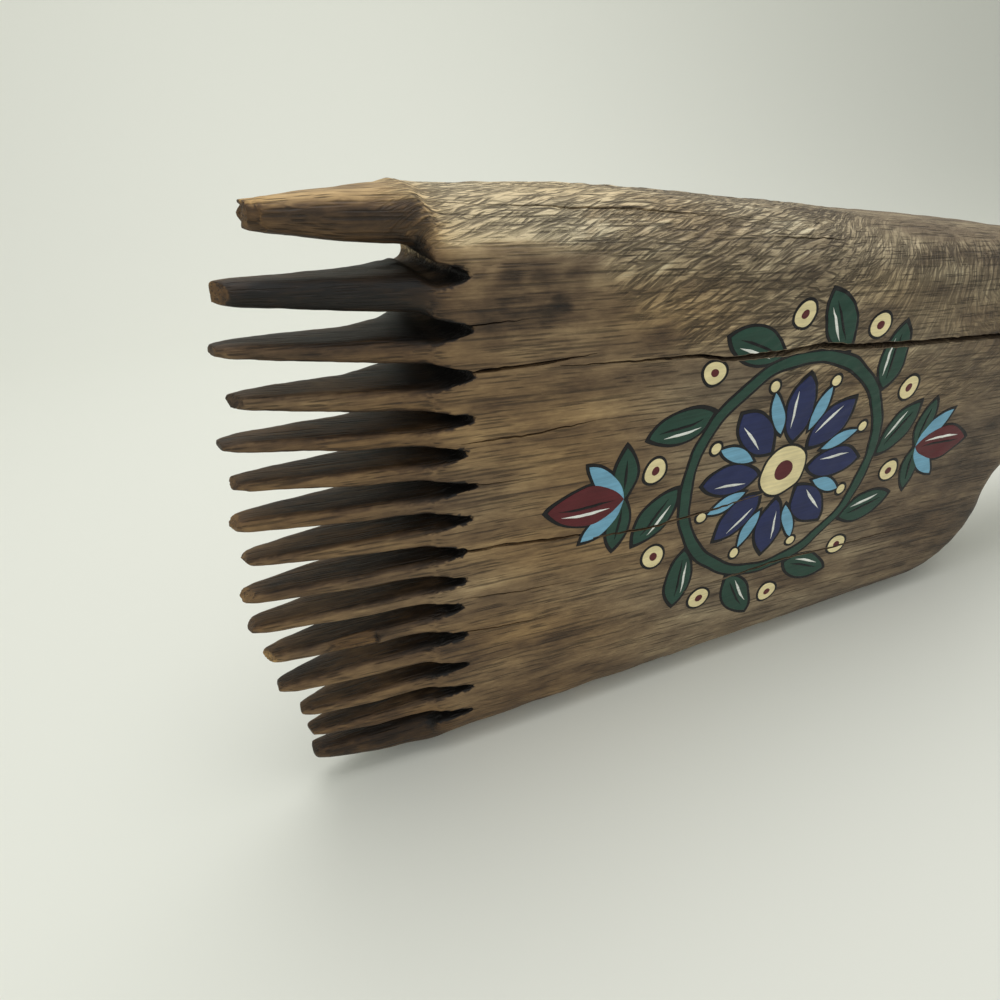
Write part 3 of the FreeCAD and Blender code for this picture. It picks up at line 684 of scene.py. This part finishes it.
def makeBlade(name, crack, seed, margin=0.0):
    chance = np.random.default_rng(seed)
    path = np.array(crack["path"], float)
    lengths = np.concatenate([[0], np.cumsum(np.hypot(*np.diff(path, axis=0).T))])
    steps = max(6, int(lengths[-1] / crackStyle["step"]))
    turn = math.radians(crack.get("turn", 0))
    inward = np.array([0, math.cos(turn), -math.sin(turn)])
    sideways = np.array([0, math.sin(turn), math.cos(turn)])
    blade = bmesh.new()
    bmesh.ops.create_cube(blade, size=1)
    long = [edge for edge in blade.edges if abs(edge.verts[0].co.x - edge.verts[1].co.x) > 0.5]
    bmesh.ops.subdivide_edges(blade, edges=long, cuts=steps - 1, use_grid_fill=True)
    stray = chance.uniform(-1, 1, (steps + 1, 3)) * crackStyle["ragged"]
    steady, chancy = crackStyle["uneven"]
    shallow = crackStyle["shallow"]
    for vertex in blade.verts:
        share = vertex.co.x + 0.5
        step = round(share * steps)
        distance = share * lengths[-1]
        along = np.interp(distance, lengths, path[:, 0])
        up = np.interp(distance, lengths, path[:, 1]) + stray[step, 0]
        closing = min(share / crack["widest"], (1 - share) / (1 - crack["widest"]))
        opening = min(1, crackStyle["end"] + crackStyle["full"] * closing)
        opening *= steady + chancy * abs(stray[step, 1])
        if vertex.co.y < 0:
            half = crack["width"] / 2 * opening * (1 + crackStyle["proud"] / crack["depth"])
            deep = -crackStyle["proud"]
        else:
            half = crackStyle["floor"]
            deep = crack["depth"] * (shallow + (1 - shallow) * opening)
        side = 1 if vertex.co.z > 0 else -1
        middle = np.array([along, crack.get("start", 0), up]) + inward * deep
        vertex.co = Vector(toFrame(middle + sideways * side * (half + margin)))
    bmesh.ops.triangulate(blade, faces=blade.faces)
    bmesh.ops.recalc_face_normals(blade, faces=blade.faces)
    return addObject(name, finishMesh(blade, name))


# The split into head, handle and teeth, with the billet's own shading across the joints

split = {
    "angle": 48.0,  # degrees from which an edge is sharp
    "close": 0.002,  # mm from a joint that count as on it
    "cap": 0.9,  # what faces along the comb more than this is the joint's own face
    "fewest": 200,  # points of a tooth; anything smaller is a splinter
}


def cutAway(mesh, plane, keepBelow):  # keeps one side of a plane across the comb, closed with a cap
    work = bmesh.new()
    work.from_mesh(mesh)
    place = Vector(toFrame([plane, 0, 0]))
    heading = Vector(combToFrame[:, 0])
    bmesh.ops.bisect_plane(
        work, geom=work.verts[:] + work.edges[:] + work.faces[:], dist=1e-7, plane_co=place,
        plane_no=heading, clear_outer=keepBelow, clear_inner=not keepBelow)
    caps = bmesh.ops.edgeloop_fill(work, edges=openEdges(work))["faces"]
    bmesh.ops.triangulate(work, faces=caps)
    return finishMesh(work, "cut")


def shadeLikeBillet(mesh, planes):
    mesh.shade_smooth()
    mesh.set_sharp_from_angle(angle=math.radians(split["angle"]))
    corners = readAll(mesh.corner_normals, "vector")
    owners = readAll(mesh.loops, "vertex_index", np.int32, 1).ravel()
    whole = readAll(mesh.attributes["wholeNormal"].data, "vector")
    along = toComb(readPlaces(mesh))[:, 0]
    facing = np.abs(corners @ combToFrame[:, 0])
    for plane in planes:
        seam = (np.abs(along[owners] - plane) < split["close"]) & (facing < split["cap"])
        corners[seam] = whole[owners[seam]]
    mesh.normals_split_custom_set(corners)
    mesh.attributes.remove(mesh.attributes["wholeNormal"])


def splitBillet(block, material):
    mesh = block.data
    normals = readAll(mesh.vertices, "normal").ravel()
    mesh.attributes.new("wholeNormal", "FLOAT_VECTOR", "POINT").data.foreach_set("vector", normals)
    root, neck = comb["rootPlane"], comb["neckPlane"]
    withHead = cutAway(mesh, root, keepBelow=False)
    pieces = {
        "head_block": cutAway(withHead, neck, keepBelow=True),
        "handle": cutAway(withHead, neck, keepBelow=False),
    }
    teeth = addObject("teeth", cutAway(mesh, root, keepBelow=True))
    bpy.data.meshes.remove(withHead)
    for number, made in enumerate(looseParts(teeth), 1):
        pieces[f"tooth_{number:02d}"] = made
    discard(teeth)
    for name, made in pieces.items():
        shadeLikeBillet(made, (root, neck))
        made.name = "carved_" + name
        made.materials.clear()
        made.materials.append(material)
        piece = addObject("carved_" + name, made)
        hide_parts(name)
        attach(piece, "root")
    discard(block)
    print("billet split into", len(pieces), "pieces")


def looseParts(source):  # the separate teeth as meshes of their own, from the top one down
    work = bmesh.new()
    work.from_mesh(source.data)
    work.verts.ensure_lookup_table()
    seen = np.full(len(work.verts), -1)
    groups = 0
    for start in work.verts:
        if seen[start.index] >= 0:
            continue
        seen[start.index] = groups
        front = [start]
        while front:
            vertex = front.pop()
            for edge in vertex.link_edges:
                other = edge.other_vert(vertex)
                if seen[other.index] < 0:
                    seen[other.index] = groups
                    front.append(other)
        groups += 1
    work.free()
    heights = toComb(readPlaces(source.data))[:, 2]
    sizes = np.bincount(seen, minlength=groups)
    order = sorted((group for group in range(groups) if sizes[group] > split["fewest"]),
                   key=lambda group: -heights[seen == group].mean())
    parts = []
    for group in order:
        part = bmesh.new()
        part.from_mesh(source.data)
        part.verts.ensure_lookup_table()
        strangers = [vertex for vertex in part.verts if seen[vertex.index] != group]
        bmesh.ops.delete(part, geom=strangers, context="VERTS")
        parts.append(finishMesh(part, "part"))
    return parts


# Old hardwood such as walnut or oak, split, shaved with a knife and handled for years. The eye sees a dull
# grey brown, blotched and streaked along the grain with fine checks, and short dark knife cuts between pale
# ridges: the cuts darkened by dirt and by painted shade, the ridges paled with painted highlight. The slots
# are darkened nearly to black with painted shade.
wood = {
    # uneven colour: metres along and across the grain, detail, and how much each counts
    "figures": {
        "streaks": {"size": (0.05, 0.0009), "detail": 4, "warp": 0, "strength": 0.26},
        "fibres": {"size": (0.012, 0.00035), "detail": 3, "warp": 0, "strength": 0.24},
        "bands": {"size": (0.14, 0.006), "detail": 2, "warp": 0.6, "strength": 0.3},
        "blotches": {"size": (0.015, 0.006), "detail": 4, "warp": 0, "strength": 0.56},
        "specks": {"size": (0.0035, 0.0011), "detail": 3, "warp": 0, "strength": 0.26},
    },
    "middle": 0.79,  # taken off the sum of all these, so that it lies about the tone
    "chips": (0.0085, 0.0015),  # the uneven hollows between the knife's strokes
    "chipTurn": 28,  # degrees from the grain
    "wander": 0.0012,  # metres that the knife's strokes wander
    "bowl": {"From Min": 0.44, "From Max": 0.2},  # of a cell: rim and floor of its stroke
    # knife-marked wood: hollows darkened, partly dirt and partly painted shade, and ridges paled with
    # painted highlight
    "hollows": {"From Min": 0.49, "From Max": 0.34, "To Max": 0.8},
    "ridges": {"From Min": 0.5, "From Max": 0.72, "To Max": 0.17},
    "knifed": 0.11,  # how much paler knife-marked wood is between its cuts
    "shoulderTurn": 62,  # more degrees that all strokes turn at the shoulder
    "shoulderPlace": (0.0325, 0.122, 0),  # middle of that turn, along the grain and round the board
    "shades": [(0.0, "#0c0906"), (0.2, "#33281c"), (0.38, "#5d4e3e"), (0.54, "#7e6e58"), (0.7, "#9c8c71"),
               (0.86, "#bfae8f"), (1.0, "#dacdae")],
    "warmth": "#fddfae",
    "veins": ("#1f170f", 0.58),
    "cuts": ("#2b2219", 0.72),
    "roughness": (0.58, 0.82),  # of the darkest and the palest wood
    "specular": 0.4,
    "relief": 0.0007,
    "heights": {"fibres": 0.25, "veins": -0.4, "cuts": -0.8},
}
# Each kind of mark: metres of one cell, degrees from the grain and how many cells have one. Solid marks run
# straight through the wood, so they show on walls and round the teeth too.
strokes = {
    "long": {"size": (0.0125, 0.00105), "turn": 22, "present": 1.1, "seed": 0, "solid": False},
    "short": {"size": (0.0078, 0.00095), "turn": 38, "present": 0.9, "seed": 0.31, "solid": False},
    "crossing": {"size": (0.011, 0.0009), "turn": -3, "present": 0.4, "seed": 0.44, "solid": False},
    "grain": {"size": (0.014, 0.0005), "turn": 0, "present": 0.7, "seed": 0.83, "solid": True},
    "check": {"size": (0.036, 0.0008), "turn": 0, "present": 0.6, "seed": 0.12, "solid": True},
}


def makeWood():
    material, tree, surface = startMaterial("handShavedHardwood")
    where = addNode(tree, "TexCoord", out="Object")
    grainWay = addNode(tree, "Mapping", {"Vector": where, "Rotation": (0, -lean, 0)})
    fields = {name: addNode(tree, "Attribute", attribute_name=name, out="Fac")
              for name in ("tone", "warm", "knife", "shoulder", "around")}
    alongGrain = addNode(tree, "SeparateXYZ", {0: grainWay})
    wrapped = addNode(tree, "CombineXYZ", {"X": alongGrain, "Y": fields["around"]})
    bend = addNode(tree, "TexNoise", {"Vector": wrapped, "Scale": 130, "Detail": 2}, out="Color")
    # knife strokes turn from along the grain to across it at the shoulder
    spin = addNode(tree, "MapRange", {
        "Value": fields["shoulder"], "To Max": math.radians(wood["shoulderTurn"])})
    spun = addNode(tree, "VectorRotate", {"Vector": wrapped, "Center": wood["shoulderPlace"], "Angle": spin},
                   rotation_type="Z_AXIS", invert=True)

    def figure(pattern):  # uneven colour, stretched along the grain
        long, wide = pattern["size"]
        stretched = addNode(tree, "Mapping", {"Vector": grainWay, "Scale": (1 / long, 1 / wide, 1 / wide)})
        return addNode(tree, "TexNoise", {
            "Vector": stretched, "Scale": 1, "Detail": pattern["detail"], "Roughness": 0.6,
            "Distortion": pattern["warp"]})

    def dashes(size, turn, present, seed, solid):  # long thin hollows, one to a cell
        long, wide = size
        wander = 0 if solid else wood["wander"]
        strayed = addNode(tree, "VectorMath", {
            0: bend, 1: (wander, wander, 0), 2: grainWay if solid else spun}, operation="MULTIPLY_ADD")
        turned = addNode(tree, "Mapping", {
            "Vector": strayed, "Location": (seed, 0, 0),
            "Rotation": (0, 0, math.radians(turn)), "Scale": (long, wide, wide)}, vector_type="TEXTURE")
        cell = addNode(tree, "TexVoronoi", {"Vector": turned, "Scale": 1, "Randomness": 0.9},
                       voronoi_dimensions="3D" if solid else "2D")
        bowl = addNode(tree, "MapRange", {"Value": cell, **wood["bowl"]})
        chosen = addNode(tree, "MapRange", {
            "Value": cell.node.outputs["Color"], "From Min": 0.56 - 0.12 * present,
            "From Max": 0.66 - 0.2 * present})
        return addNode(tree, "Math", {0: bowl, 1: chosen}, operation="MULTIPLY")

    marks = {name: dashes(**stroke) for name, stroke in strokes.items()}
    chipWay = addNode(tree, "Mapping", {
        "Vector": spun, "Rotation": (0, 0, math.radians(wood["chipTurn"])),
        "Scale": (*wood["chips"], 1)}, vector_type="TEXTURE")
    chips = addNode(tree, "TexNoise", {"Vector": chipWay, "Scale": 1, "Detail": 3, "Roughness": 0.6,
                                       "Distortion": 0.5}, noise_dimensions="2D")
    hollow = addNode(tree, "MapRange", {"Value": chips, **wood["hollows"]})
    # painted highlight: the raised crests of the chips are paler
    ridge = addNode(tree, "MapRange", {"Value": chips, **wood["ridges"]})
    knifed = marks["long"]
    for mark in (marks["short"], marks["crossing"], hollow):
        knifed = addNode(tree, "Math", {0: knifed, 1: mark}, operation="MAXIMUM")
    # the cuts darken the wood: dirt in them, deepened with painted shade
    cuts = addNode(tree, "Math", {0: knifed, 1: fields["knife"]}, operation="MULTIPLY")
    veins = addNode(tree, "Math", {0: marks["grain"], 1: marks["check"]}, operation="MAXIMUM")

    figures = {name: figure(pattern) for name, pattern in wood["figures"].items()}
    level = fields["tone"]
    for name, pattern in wood["figures"].items():
        level = addNode(tree, "Math", {0: figures[name], 1: pattern["strength"], 2: level},
                        operation="MULTIPLY_ADD")
    # painted highlight on the ridges, added with the paler wood between the cuts
    pale = addNode(tree, "Math", {0: ridge, 1: wood["knifed"]}, operation="ADD")
    level = addNode(tree, "Math", {0: pale, 1: fields["knife"], 2: level}, operation="MULTIPLY_ADD")
    level = addNode(tree, "Math", {0: level, 1: wood["middle"]}, operation="SUBTRACT")
    plain = addNode(tree, "ValToRGB", {"Fac": level}, stops=wood["shades"])
    tint = addNode(tree, "Mix", {0: fields["warm"], 6: plain, 7: colour(wood["warmth"])}, out=2,
                   data_type="RGBA", blend_type="MULTIPLY")
    for mark, (hexText, strength) in ((veins, wood["veins"]), (cuts, wood["cuts"])):
        share = addNode(tree, "Math", {0: mark, 1: strength}, operation="MULTIPLY")
        tint = addNode(tree, "Mix", {0: share, 6: tint, 7: colour(hexText)}, out=2, data_type="RGBA")

    sheen = addNode(tree, "MapRange", {
        "Value": level, "From Min": 0.2, "From Max": 0.9, "To Min": wood["roughness"][0],
        "To Max": wood["roughness"][1]})
    height = addNode(tree, "Math", {0: chips, 1: fields["knife"]}, operation="MULTIPLY")
    parts = {"fibres": figures["fibres"], "veins": veins, "cuts": cuts}
    for name, strength in wood["heights"].items():
        height = addNode(tree, "Math", {0: parts[name], 1: strength, 2: height},
                         operation="MULTIPLY_ADD")
    bump = addNode(tree, "Bump", {"Height": height, "Strength": 0.8, "Distance": wood["relief"]})
    feed(tree, surface, {
        "Base Color": tint, "Roughness": sheen, "Specular IOR Level": wood["specular"], "Normal": bump})
    return material


# The painting: skins of acrylic paint that follow the carved face, one for each packed film

paintSkin = {
    "lifts": {"ground": 0.05, "under": 0.09, "colour": 0.11, "over": 0.13, "stroke": 0.17},  # mm
    "corner": (12, 12),  # mm along and up the comb
    "size": (170, 128),
    "weave": 0.5,  # mm between the points of a skin
    "buried": 2.2,  # mm from the face back into the wood
    "ahead": 20,  # mm before the face, from where it is felt for
    "cutter": 4.0,  # mm that a film's drawn shape reaches before and behind the face
    "broken": 0.14,  # mm that the paint has broken back from each crack
    "waver": 0.34,  # mm that the hand strayed from the drawn shapes
    "waverLength": 13.0,
    "edgeStep": 1.2,  # mm: longer edges of a film are divided, so that they can waver
}

# Acrylic artist's colours, brushed on by hand in two coats: dull to satin, with faint brush lines
paints = {
    "soot black acrylic": {"hex": "#141315", "slot": "paint_black", "layers": {
        "paint_wreath_outline": "ground", "paint_star_outline": "ground", "paint_sprig_outlines": "ground",
        "paint_veins": "stroke"}},
    "leaf green acrylic": {"hex": "#27463a", "slot": "paint_green", "layers": {
        "paint_vine": "colour", "paint_leaves": "colour", "paint_sprig_leaves": "under"}},
    "cream acrylic": {"hex": "#e9daa8", "slot": "paint_cream", "layers": {
        "paint_berries": "colour", "paint_star_eye": "colour", "paint_star_beads": "colour"}},
    "navy acrylic": {"hex": "#252d57", "slot": "paint_navy", "layers": {"paint_star_petals": "colour"}},
    "sky blue acrylic": {"hex": "#76abc6", "slot": "paint_blue", "layers": {
        "paint_star_rays": "colour", "paint_sprig_petals": "colour"}},
    "oxblood acrylic": {"hex": "#5a2025", "slot": "paint_red", "layers": {
        "paint_star_seed": "colour", "paint_sprig_buds": "over", "paint_berry_dots": "stroke"}},
    "titanium white acrylic": {"hex": "#e9ebe4", "slot": "paint_white", "layers": {
        "paint_highlights": "stroke"}},
}
brushing = {
    "hairs": (0.016, 0.0007),  # metres of one brush line
    "turn": 0.9,  # radians, the way of the brush
    "clouds": 160,  # patches to a metre
    "shades": (0.82, 1.16),  # the darkest and the lightest share of the colour
    "relief": 0.00005,
    "roughness": 0.5,
    "specular": 0.25,
}


def makePaint(name, hexText):
    words = name.split()
    material, tree, surface = startMaterial(words[0] + "".join(word.title() for word in words[1:]))
    where = addNode(tree, "TexCoord", out="Object")
    long, wide = brushing["hairs"]
    turned = addNode(tree, "Mapping", {
        "Vector": where, "Rotation": (0, brushing["turn"], 0), "Scale": (1 / long, 1 / wide, 1 / wide)})
    hairs = addNode(tree, "TexNoise", {"Vector": turned, "Scale": 1, "Detail": 3, "Distortion": 0.5})
    patches = addNode(tree, "TexNoise", {"Vector": where, "Scale": brushing["clouds"], "Detail": 3})
    unevenness = addNode(tree, "Math", {0: hairs, 1: patches}, operation="ADD")
    shade = addNode(tree, "MapRange", {
        "Value": unevenness, "From Min": 0.7, "From Max": 1.3, "To Min": brushing["shades"][0],
        "To Max": brushing["shades"][1]})
    coat = addNode(tree, "VectorMath", {0: colour(hexText)[:3], "Scale": shade}, operation="SCALE")
    bump = addNode(tree, "Bump", {"Height": hairs, "Strength": 0.6, "Distance": brushing["relief"]})
    feed(tree, surface, {
        "Base Color": coat, "Roughness": brushing["roughness"],
        "Specular IOR Level": brushing["specular"], "Normal": bump})
    return material


def makeSkin(face, blades):  # the carved face as the front of a closed slab, split by the cracks
    size, corner = paintSkin["size"], paintSkin["corner"]
    columns, lines = (round(side / paintSkin["weave"]) for side in size)
    work = bmesh.new()
    bmesh.ops.create_grid(work, x_segments=columns, y_segments=lines, size=0.5)
    ahead = Vector((0, 1, 0))
    for vertex in work.verts:
        along = corner[0] + size[0] * (vertex.co.x + 0.5)
        up = corner[1] + size[1] * (vertex.co.y + 0.5)
        start = Vector(toFrame([along, -paintSkin["ahead"], up]))
        vertex.co = face.ray_cast(start, ahead)[0] or Vector(toFrame([along, 0, up]))
    for item in bmesh.ops.extrude_edge_only(work, edges=openEdges(work))["geom"]:
        if isinstance(item, bmesh.types.BMVert):
            item.co.y = (comb["face"] + paintSkin["buried"]) / 1000
    bmesh.ops.edgeloop_fill(work, edges=openEdges(work))
    bmesh.ops.triangulate(work, faces=work.faces)
    bmesh.ops.recalc_face_normals(work, faces=work.faces)
    skin = addObject("skin", finishMesh(work, "skin"))
    for blade in blades:
        combine(skin, blade, "DIFFERENCE")
    return skin


def liftedSkin(skin, lift):
    raised = addObject("skin_lifted", skin.data.copy())
    raised.data.transform(Matrix.Translation((0, -lift / 1000, 0)))
    return raised


def paintFilm(name, skin, material):
    work = bmesh.new()
    work.from_mesh(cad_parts[name].data)
    bmesh.ops.remove_doubles(work, verts=work.verts, dist=weld)
    long = [edge for edge in work.edges
            if edge.calc_length() > paintSkin["edgeStep"] / 1000 and len(edge.link_faces) == 2
            and abs(edge.link_faces[0].normal.y - edge.link_faces[1].normal.y) > 0.5]
    bmesh.ops.subdivide_edges(work, edges=long, cuts=3)
    bmesh.ops.triangulate(work, faces=work.faces)
    mesh = finishMesh(work, "painted_" + name)
    places = toComb(readPlaces(mesh))
    middle = places[:, 1].mean()
    places[:, 1] = np.where(places[:, 1] > middle, paintSkin["cutter"], -paintSkin["cutter"])
    flat = places * (1, 0, 1)
    places[:, 0] += paintSkin["waver"] * ripple(flat, paintSkin["waverLength"], 21)
    places[:, 2] += paintSkin["waver"] * ripple(flat, paintSkin["waverLength"], 22)
    writePlaces(mesh, toFrame(places))
    film = addObject("painted_" + name.removeprefix("paint_"), mesh)
    combine(film, skin, "INTERSECT")
    film.data.materials.clear()
    film.data.materials.append(material)
    film.data.shade_smooth()
    film.data.set_sharp_from_angle(angle=math.radians(split["angle"]))
    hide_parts(name)
    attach(film, "root")
    return len(film.data.polygons)


ends = toothEnds()
block = gatherWood()
print("billet remeshed:", len(block.data.polygons), "faces")
carveBillet(block, ends)
blades = [makeBlade(name, crack, 40 + index) for index, (name, crack) in enumerate(cracks.items())]
paintBlades = [makeBlade(name, crack, 40 + index, paintSkin["broken"])
               for index, (name, crack) in enumerate(cracks.items()) if crack.get("painted")]
face = BVHTree.FromObject(block, bpy.context.evaluated_depsgraph_get())
skin = makeSkin(face, paintBlades)
skins = {layer: liftedSkin(skin, lift) for layer, lift in paintSkin["lifts"].items()}
print("paint skin ready:", len(skin.data.polygons), "triangles")
for blade in blades:
    combine(block, blade, "DIFFERENCE")
print("cracks opened:", len(block.data.polygons), "triangles")
describeWood(block.data, face, ends)
splitBillet(block, makeWood())
for name, paint in paints.items():
    material = makePaint(name, paint["hex"])
    for node, layer in paint["layers"].items():
        count = paintFilm(node, skins[layer], material)
        print("painted", node, count)
for tool in (*blades, *paintBlades, *skins.values(), skin):
    discard(tool)


# The table: one pale sheet that runs up behind the comb. Background paper, made of wood pulp without gloss:
# the eye sees an even warm white that takes a soft shadow.

studio = {
    "front": -0.9,  # metres, where the sheet starts before the comb and folds up behind it
    "back": 0.75,
    "half": 1.4,  # half its width
    "height": 1.1,
    "bend": 0.35,  # radius of the fold
    "sheet": "#e6e7de",
    "roughness": 0.85,
    "sky": "#e4e6e2",
    "skyLevel": 0.62,
    "lamps": {  # place and size in metres, power in watts
        "soft_key": {"place": (0.05, 0.12, 0.85), "size": 0.75, "power": 4.6},
        "soft_fill": {"place": (-0.5, -0.7, 0.5), "size": 0.6, "power": 1.0},
    },
}


def makeTable():
    work = bmesh.new()
    corners = [work.verts.new((side * studio["half"], studio["front"], 0)) for side in (-1, 1)]
    edge = work.edges.new(corners)
    for step in ((0, studio["back"] - studio["front"], 0), (0, 0, studio["height"])):
        grown = bmesh.ops.extrude_edge_only(work, edges=[edge])["geom"]
        bmesh.ops.translate(work, verts=[item for item in grown if isinstance(item, bmesh.types.BMVert)],
                            vec=step)
        edge = next(item for item in grown if isinstance(item, bmesh.types.BMEdge)
                    and abs(item.verts[0].co.x - item.verts[1].co.x) > 1)
    fold = [item for item in work.edges if all(
        abs(vertex.co.y - studio["back"]) < weld and vertex.co.z < weld for vertex in item.verts)]
    bmesh.ops.bevel(work, geom=fold, offset=studio["bend"], offset_type="OFFSET", segments=24,
                    profile=0.5, affect="EDGES", material=-1)
    bmesh.ops.recalc_face_normals(work, faces=work.faces)
    mesh = finishMesh(work, "table_sheet")
    mesh.shade_smooth()
    table = addObject("table_sheet", mesh)
    material, tree, surface = startMaterial("palePaper")
    feed(tree, surface, {"Base Color": colour(studio["sheet"]), "Roughness": studio["roughness"]})
    mesh.materials.append(material)


def addLamp(name, place, size, power):
    lamp = bpy.data.lights.new(name, "AREA")
    lamp.size = size
    lamp.energy = power
    holder = addObject(name, lamp)
    holder.location = place
    holder.rotation_euler = (-Vector(place)).to_track_quat("-Z", "Y").to_euler()


def lightStudio():
    for name, lamp in studio["lamps"].items():
        addLamp(name, **lamp)
    world = bpy.context.scene.world or bpy.data.worlds.new("studio")
    bpy.context.scene.world = world
    world.use_nodes = True
    sky = {"Color": colour(studio["sky"]), "Strength": studio["skyLevel"]}
    feed(world.node_tree, world.node_tree.nodes["Background"], sky)
    bpy.context.scene.view_settings.view_transform = "Standard"


makeTable()
lightStudio()

# The camera stands close, above the teeth, and is turned towards the handle
camera = {
    "lens": 24.53,  # mm, before a film 36 mm wide
    "film": 36,
    "place": (-0.11666, -0.15069, 0.16513),
    "turn": (58.321, 1.648, -22.458),  # degrees
    "nearest": 0.005,
}
eye = bpy.data.cameras.new("camera")
eye.lens = camera["lens"]
eye.sensor_width = camera["film"]
eye.clip_start = camera["nearest"]
holder = addObject("camera", eye)
holder.location = camera["place"]
holder.rotation_euler = Euler([math.radians(angle) for angle in camera["turn"]])
bpy.context.scene.camera = holder

print("scene ready")
